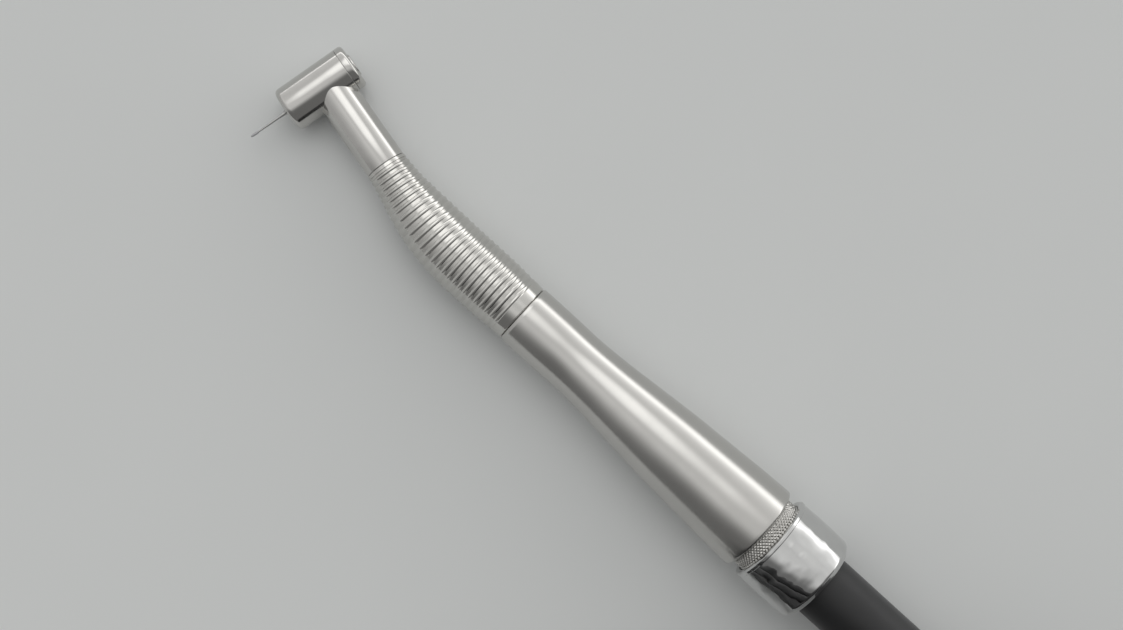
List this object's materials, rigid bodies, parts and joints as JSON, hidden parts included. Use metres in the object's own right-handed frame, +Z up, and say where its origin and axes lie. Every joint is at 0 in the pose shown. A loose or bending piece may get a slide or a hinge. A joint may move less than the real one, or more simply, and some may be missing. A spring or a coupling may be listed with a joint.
{
  "type": "high speed dental handpiece",
  "caption": "High speed air-turbine dental handpiece with a push-button chuck, a bent ringed grip, a screw coupling and its black hose in a coil.",
  "frame": {"origin": "on the surface it lies on, below the middle of the handpiece, hose left out", "axes": "+X along the handle towards the hose, +Y towards the push button, +Z up"},
  "size_m": [0.2568, 0.1415, 0.0536],
  "materials": {
    "polished_steel": "polished",
    "satin_steel": "satin",
    "chrome": "mirror",
    "steel": "machined",
    "spring_steel": "drawn",
    "brass": "machined",
    "aluminium": "satin",
    "nitrile": "matt",
    "hose_rubber": "matt",
    "phenolic": "matt",
    "diamond": "grit"
  },
  "bodies": {
    "shell": {"head_housing": "polished_steel", "grip_sleeve": "polished_steel", "handle_sleeve": "satin_steel", "rear_connector": "steel", "connector_seal": "nitrile", "drive_air_tube": "steel", "water_tube": "steel", "chip_air_tube": "steel", "front_o_ring": "nitrile", "rear_o_ring": "nitrile", "front_outer_race": "steel", "rear_outer_race": "steel", "preload_washer": "spring_steel"},
    "rotor": {"spindle": "steel", "collet": "steel", "impeller": "aluminium", "front_inner_race": "steel", "rear_inner_race": "steel"},
    "front_cage": {"front_ball_cage": "phenolic"},
    "rear_cage": {"rear_ball_cage": "phenolic"},
    "plunger": {"chuck_plunger": "steel"},
    "bur": {"bur_shank": "steel", "bur_tip": "diamond"},
    "seal": {"cap_seal": "nitrile"},
    "cap": {"head_cap": "polished_steel", "button_spring": "spring_steel", "spring_retainer": "steel"},
    "button": {"push_button": "polished_steel"},
    "hose": {"hose_gasket": "nitrile", "hose_fitting": "brass", "drive_air_pipe": "steel", "exhaust_pipe": "steel", "water_pipe": "steel", "chip_air_pipe": "steel", "slip_washer": "steel", "hose_tube": "hose_rubber", "hose_coil": "hose_rubber", "hose_end_tube": "hose_rubber", "unit_connector": "aluminium", "unit_drive_air_pipe": "steel", "unit_exhaust_pipe": "steel", "unit_water_pipe": "steel", "unit_chip_air_pipe": "steel"},
    "nut": {"coupling_nut": "chrome"},
    "unit_nut": {"unit_nut": "chrome"}
  },
  "joints": [
    {"name": "turbine_spin", "type": "hinge", "parent": "shell", "child": "rotor", "pos_m": [-0.06004, 0.00517, 0.00471], "axis": [0.22, 0.9755, 0], "continuous": true},
    {"name": "front_cage_roll", "type": "hinge", "parent": "shell", "child": "front_cage", "pos_m": [-0.06004, 0.00517, 0.00471], "axis": [0.22, 0.9755, 0], "continuous": true},
    {"name": "rear_cage_roll", "type": "hinge", "parent": "shell", "child": "rear_cage", "pos_m": [-0.06004, 0.00517, 0.00471], "axis": [0.22, 0.9755, 0], "continuous": true},
    {"name": "chuck_release", "type": "slide", "parent": "rotor", "child": "plunger", "axis": [-0.22, -0.9755, 0], "range_m": [0, 0.00042]},
    {"name": "bur_pull", "type": "slide", "parent": "rotor", "child": "bur", "axis": [-0.22, -0.9755, 0], "range_m": [0, 0.0105]},
    {"name": "cap_turn", "type": "hinge", "parent": "seal", "child": "cap", "pos_m": [-0.06004, 0.00517, 0.00471], "axis": [0.22, 0.9755, 0], "range_deg": [0, 1296]},
    {"name": "cap_lift", "type": "slide", "parent": "shell", "child": "seal", "axis": [0.22, 0.9755, 0], "range_m": [0, 0.0018]},
    {"name": "button_press", "type": "slide", "parent": "cap", "child": "button", "axis": [-0.22, -0.9755, 0], "range_m": [0, 0.00055], "stiffness_N_per_m": 400, "springref_m": -0.0005, "deforming": ["button_spring"]},
    {"name": "nut_turn", "type": "hinge", "parent": "hose", "child": "nut", "pos_m": [0.05362, -0.00202, 0.00886], "axis": [0.9994, 0, 0.0359], "range_deg": [0, 1800]},
    {"name": "hose_withdraw", "type": "slide", "parent": "shell", "child": "hose", "axis": [0.9994, 0, 0.0359], "range_m": [0, 0.005]},
    {"name": "unit_nut_turn", "type": "hinge", "parent": "hose", "child": "unit_nut", "pos_m": [0.08001, -0.11444, 0.04545], "axis": [-0.9659, 0.2588, 0], "continuous": true}
  ],
  "couplings": [
    {"joint": "front_cage_roll", "follows": "turbine_spin", "ratio": 0.395},
    {"joint": "rear_cage_roll", "follows": "turbine_spin", "ratio": 0.395},
    {"joint": "chuck_release", "follows": "button_press", "ratio": 0.75},
    {"joint": "cap_turn", "follows": "cap_lift", "rad_per_m": 12566},
    {"joint": "nut_turn", "follows": "hose_withdraw", "rad_per_m": 6283.2}
  ]
}
